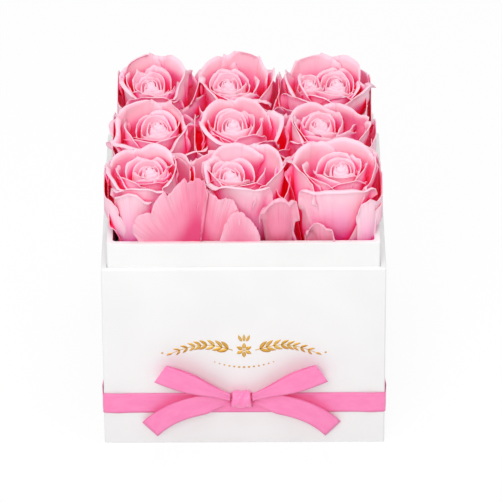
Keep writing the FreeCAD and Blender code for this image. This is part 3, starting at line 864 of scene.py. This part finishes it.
def bow_loop(name, node, side):
    """A loop that leaves the knot, swells, turns at its reach and comes back."""
    turn = 2 * math.pi * np.linspace(LOOP_OPEN, 1 - LOOP_OPEN, LOOP_STEPS)
    outward = (1 - np.cos(turn)) / 2
    start = np.array([-KNOT_WIDTH / 2, -LOOP_SEAT * KNOT_DEPTH, KNOT_TALL / 4])
    reach = np.array([-LOOP_REACH, start[1], LOOP_LIFT]) - start
    middle = start + reach * outward[:, None]
    middle[:, 1] -= LOOP_SWELL * np.sin(turn) * outward + LOOP_PART / 2 * np.cos(turn / 2)
    middle[:, 2] += LOOP_FALL * np.sin(turn) * outward
    pinched = PINCH + (1 - PINCH) * smooth_step(outward, 0, LOOP_PINCH_END)
    ribbon_piece(name, node, side, middle, half_widths(LOOP_SLANT * outward, pinched), pinched)


def bow_tail(name, node, side):
    """A tail that arches off the box, sags towards its end and twists there."""
    along = np.linspace(0, 1, TAIL_STEPS)
    middle = np.stack(
        [
            -KNOT_WIDTH / 2 - (TAIL_REACH - KNOT_WIDTH / 2) * along,
            -TAIL_SEAT * KNOT_DEPTH - TAIL_ARCH * np.sin(math.pi * along),
            -KNOT_TALL / 4 - (TAIL_DROP - KNOT_TALL / 4) * along**TAIL_SAG,
        ],
        -1,
    )
    pinched = PINCH + (1 - PINCH) * smooth_step(along, 0, TAIL_PINCH_END)
    ribbon_piece(name, node, side, middle, half_widths(-TAIL_SLANT * along**TAIL_TWIST, pinched), pinched)


def knot():
    """The wrap of ribbon that ties the bow, with slanting pleats."""
    around = np.linspace(0, 2 * math.pi, KNOT_STEPS, endpoint=False)
    across = np.linspace(-1, 1, KNOT_COLUMNS)[:, None]
    pleats = KNOT_PLEAT * np.sin(KNOT_PLEATS * across + KNOT_PLEAT_SLANT * around)
    swell = 1 + pleats - KNOT_DOME * across**2
    places = np.stack(
        [
            KNOT[0] + KNOT_WIDTH / 2 * across * (1 - KNOT_WAIST * np.cos(around - KNOT_WAIST_TURN)),
            KNOT[1] - KNOT_DEPTH / 2 - KNOT_DEPTH / 2 * swell * np.sin(around),
            KNOT[2] + KNOT_TALL / 2 * swell * np.cos(around),
        ],
        -1,
    )
    marks = marked(places, across, around * KNOT_TALL / 2 * MM, MID_TONE)
    sheets = Sheets()
    sheets.add(places[:, ::-1], marks, RIBBON_THICKNESS, ring=True)
    piece = sheets.piece("ribbon_knot", "weave", SATIN, "satin", "bow_knot")


def band():
    """The band round the box: a rounded square that lifts a little off the board beside the corners."""
    half = band_high[0]
    straight = half - BAND_ROUND
    steps = np.linspace(-straight, straight, BAND_STEPS)
    lift = BAND_LIFT * np.exp(-(((straight - np.abs(steps) - LIFT_PLACE) / LIFT_LENGTH) ** 2))
    bends = np.linspace(0, math.pi / 2, BEND_STEPS)[1:-1]
    run = np.concatenate([
        np.stack([steps, -half - lift], -1),
        np.stack([straight + BAND_ROUND * np.sin(bends), -straight - BAND_ROUND * np.cos(bends)], -1),
    ])
    runs = []
    for quarter in range(4):
        cosine, sine = round(math.cos(quarter * math.pi / 2)), round(math.sin(quarter * math.pi / 2))
        runs.append(run @ np.array([[cosine, sine], [-sine, cosine]]))
    path = np.concatenate(runs)
    across = np.linspace(-1, 1, RIBBON_COLUMNS)[:, None]
    places = np.empty((RIBBON_COLUMNS, len(path), 3))
    places[..., :2] = path
    places[..., 2] = (band_low[2] + band_high[2]) / 2 + RIBBON_WIDTH / 2 * across
    length = run_length(path)
    sheets = Sheets()
    sheets.add(places, marked(places, across, length, MID_TONE), RIBBON_THICKNESS, ring=True)
    piece = sheets.piece("ribbon_wrap", "weave", SATIN, "satin", "ribbon_band")


band()
knot()
for side_name, side in (("left", 1), ("right", -1)):
    bow_loop(f"ribbon_loop_{side_name}", f"bow_loop_{side_name}", side)
    bow_tail(f"ribbon_tail_{side_name}", f"bow_tail_{side_name}", side)


# Gold foil on the front: a leafy sprig on either side of a small flower, under a crest and over beads
FOIL_THICKNESS, FOIL_MIDDLE = 0.06, 58
STROKE_STEPS = 13
LEAF_END, DOT_END = 0.08, 0.05
SPRIG_START, SPRIG_REACH, SPRIG_ARCH, SPRIG_SINK = 6, 38, 4, 1.5
SPRIG_STEPS, SPRIG_LINE, SPRIG_TAPER = 41, 0.55, 0.5
LEAF_PAIRS, FIRST_LEAF, LEAF_SPAN = 8, 3, 36
LEAF_LENGTH, LEAF_WIDTH, LEAF_SHRINK = 6.2, 1.9, 0.45
LEAF_TURN, LEAF_BEND = math.radians(48), 0.5
TIP_LENGTH, TIP_LEAF_WIDTH, TIP_DOT_PLACE, TIP_DOT = 3.6, 1.2, 5.4, 1.1
FLOWER_LEAVES, FLOWER_EYE, FLOWER_HOLLOW = 6, 1.3, 0.9
FLOWER_LENGTH, FLOWER_WIDTH = 3.6, 2.0
BEAD_PAIRS, BEAD_GAP, BEAD_HEIGHT, BEAD_CURVE = 6, 2.6, 47.5, 0.09
BEAD, BEAD_SHRINK = 1.3, 0.09
CREST_HEIGHT, CREST_GAP, CREST_TURN, CREST_BEND = 5.4, 1.1, 0.6, 0.3
CREST_LENGTH, CREST_WIDTH, CREST_TONE = 4.4, 1.5, 0.6


def foil_stroke(sheets, line, widths, tone):
    """A flat stroke of foil along a line of places on the front, given as distance across and height."""
    onward = unit(np.gradient(line, axis=0))
    beside = np.stack([onward[:, 1], -onward[:, 0]], -1)
    across = np.linspace(-0.5, 0.5, 3)
    flat = line[:, None] + beside[:, None] * (widths[:, None] * across)[..., None]
    depth = np.full(flat.shape[:2], FRONT_FACE - FOIL_THICKNESS)
    places = np.stack([flat[..., 0], depth, flat[..., 1]], -1)
    marks = marked(places, across, np.linspace(0, 1, len(line))[:, None], tone)
    sheets.add(places, marks, FOIL_THICKNESS)


def foil_leaf(sheets, start, angle, length, width, tone, bend=0.0):
    """A pointed leaf that leaves its start at an angle and bends over its length."""
    share = np.linspace(0, 1, STROKE_STEPS)
    heading = angle + bend * share
    steps = np.stack([np.cos(heading), np.sin(heading)], -1) * length / (STROKE_STEPS - 1)
    line = np.array(start) + np.cumsum(steps, axis=0) - steps[0]
    foil_stroke(sheets, line, LEAF_END + width * np.sin(math.pi * share**0.85) ** 0.8, tone)


def foil_dot(sheets, middle, size, tone):
    share = np.linspace(-1, 1, STROKE_STEPS)
    line = np.array(middle) + np.stack([0 * share, share * size / 2], -1)
    foil_stroke(sheets, line, DOT_END + size * np.sqrt(1 - share**2), tone)


def foil_sprig(sheets, side):
    """One sprig: an arched stem with pairs of leaves that grow smaller towards its end."""
    share = np.linspace(0, 1, SPRIG_STEPS)
    stem = np.stack(
        [
            side * (SPRIG_START + (SPRIG_REACH - SPRIG_START) * share),
            FOIL_MIDDLE + SPRIG_ARCH * np.sin(math.pi * share) - SPRIG_SINK * share,
        ],
        -1,
    )
    foil_stroke(sheets, stem[::-side], SPRIG_LINE * (1 - SPRIG_TAPER * share[::-side]), MID_TONE)
    for number in range(LEAF_PAIRS):
        spot = FIRST_LEAF + round(LEAF_SPAN * number / LEAF_PAIRS)
        onward = stem[spot + 1] - stem[spot]
        heading = math.atan2(onward[1], onward[0])
        size = 1 - LEAF_SHRINK * number / LEAF_PAIRS
        tone = (number % 3) / 2
        for turn in (-1, 1):
            angle = heading + turn * LEAF_TURN
            foil_leaf(
                sheets, stem[spot], angle, LEAF_LENGTH * size, LEAF_WIDTH * size, tone, -turn * LEAF_BEND
            )
    tip = stem[-1]
    onward = tip - stem[-2]
    foil_leaf(sheets, tip, math.atan2(onward[1], onward[0]), TIP_LENGTH, TIP_LEAF_WIDTH, tone=1.0)
    foil_dot(sheets, tip + (side * TIP_DOT_PLACE, 0), TIP_DOT, MID_TONE)


def foil_flower(sheets):
    """A flower of pointed leaves about a round eye."""
    for number in range(FLOWER_LEAVES):
        angle = math.pi / FLOWER_LEAVES + number * 2 * math.pi / FLOWER_LEAVES
        start = (FLOWER_HOLLOW * math.cos(angle), FOIL_MIDDLE + FLOWER_HOLLOW * math.sin(angle))
        foil_leaf(sheets, start, angle, FLOWER_LENGTH, FLOWER_WIDTH, (number % 2) / 2 + 0.25)
    foil_dot(sheets, (0, FOIL_MIDDLE), FLOWER_EYE, tone=1.0)


def gold_garland():
    sheets = Sheets()
    for side in (-1, 1):
        foil_sprig(sheets, side)
    foil_flower(sheets)
    for number in range(-BEAD_PAIRS, BEAD_PAIRS + 1):
        place = (BEAD_GAP * number, BEAD_HEIGHT + BEAD_CURVE * number**2)
        foil_dot(sheets, place, BEAD - BEAD_SHRINK * abs(number), MID_TONE)
    for turn in (-1, 0, 1):
        start = (CREST_GAP * turn, FOIL_MIDDLE + CREST_HEIGHT)
        angle = math.pi / 2 - CREST_TURN * turn
        foil_leaf(sheets, start, angle, CREST_LENGTH, CREST_WIDTH, CREST_TONE, CREST_BEND * turn)
    sheets.piece("gold_garland", "foil", GOLD, "wrapped_board")


gold_garland()


# Floor, light and camera
PHOTO_PIXELS = 502
SENSOR = 36
FOCAL_PIXELS = 4493
AIM = Vector((3.93, -75, 118.74)) * MM
CAMERA_DISTANCE = 2354 * MM
CAMERA_ELEVATION, CAMERA_ROLL = math.radians(30), math.radians(0.26)
CAMERA_SIGHT = 100
DIFFUSE_BOUNCES = 20
FLOOR_HALF, FLOOR_COLOUR, FLOOR_ROUGHNESS = 4, (0.9, 0.9, 0.9, 1), 0.12
FLOOR_GLOW, FLOOR_GLOW_SHARE = 1.02, 0.85
WHITE = (1, 1, 1, 1)
WORLD_LEVEL = 0.62


def set_camera():
    data = bpy.data.cameras.new("camera")
    data.sensor_width = SENSOR
    data.lens = FOCAL_PIXELS * SENSOR / PHOTO_PIXELS
    data.clip_end = CAMERA_SIGHT
    camera = bpy.data.objects.new("camera", data)
    bpy.context.scene.collection.objects.link(camera)
    back = Vector((0, -math.cos(CAMERA_ELEVATION), math.sin(CAMERA_ELEVATION)))
    turn = (-back).to_track_quat("-Z", "Y").to_matrix() @ Matrix.Rotation(-CAMERA_ROLL, 3, "Z")
    camera.matrix_world = Matrix.Translation(AIM + back * CAMERA_DISTANCE) @ turn.to_4x4()
    bpy.context.scene.camera = camera


def seen_ray(finish):
    """1 for rays of the picture, of gloss and through glass, which see the plain white surroundings."""
    camera = finish.node("ShaderNodeLightPath", {}, {}, "Is Camera Ray")
    glossy = finish.node("ShaderNodeLightPath", {}, {}, "Is Glossy Ray")
    through = finish.node("ShaderNodeLightPath", {}, {}, "Is Transmission Ray")
    return camera.maths("MAXIMUM", camera.maths("MAXIMUM", camera, glossy), through)


def set_floor():
    finish = Finish("floor")
    sockets = {"Base Color": FLOOR_COLOUR, "Roughness": FLOOR_ROUGHNESS}
    paper = finish.node("ShaderNodeBsdfPrincipled", {}, sockets)
    white = finish.node("ShaderNodeEmission", {}, {"Color": WHITE, "Strength": FLOOR_GLOW})
    glow = FLOOR_GLOW_SHARE * seen_ray(finish)
    shader = finish.node("ShaderNodeMixShader", {}, {0: glow, 1: paper, 2: white})
    finish.node("ShaderNodeOutputMaterial", {}, {"Surface": shader})
    mesh = bpy.data.meshes.new("floor")
    corners = [(FLOOR_HALF * x, FLOOR_HALF * y, 0) for x, y in ((-1, -1), (1, -1), (1, 1), (-1, 1))]
    mesh.from_pydata(corners, [], [(0, 1, 2, 3)])
    mesh.materials.append(finish.material)
    floor = bpy.data.objects.new("floor", mesh)
    bpy.context.scene.collection.objects.link(floor)


def set_world():
    world = bpy.data.worlds.new("studio")
    world.use_nodes = True
    bpy.context.scene.world = world
    background = world.node_tree.nodes["Background"]
    background.inputs["Color"].default_value = WHITE
    background.inputs["Strength"].default_value = WORLD_LEVEL


def add_lamp(name, place, size, power):
    """A square softbox that faces the box, with its place and size in metres and its power in watts."""
    data = bpy.data.lights.new(name, "AREA")
    data.size = size
    data.energy = power
    lamp = bpy.data.objects.new(name, data)
    bpy.context.scene.collection.objects.link(lamp)
    place = Vector(place)
    turn = (AIM - place).to_track_quat("-Z", "Y").to_matrix()
    lamp.matrix_world = Matrix.Translation(place) @ turn.to_4x4()


set_camera()
set_floor()
set_world()
add_lamp("softbox_above", place=(0.1, -0.3, 1.5), size=1.2, power=7.8)
add_lamp("softbox_front", place=(-0.3, -1.35, 0.95), size=0.9, power=8.5)
bpy.context.scene.view_settings.view_transform = "Standard"
bpy.context.scene.cycles.diffuse_bounces = DIFFUSE_BOUNCES
bpy.context.scene.cycles.max_bounces = 2 * DIFFUSE_BOUNCES
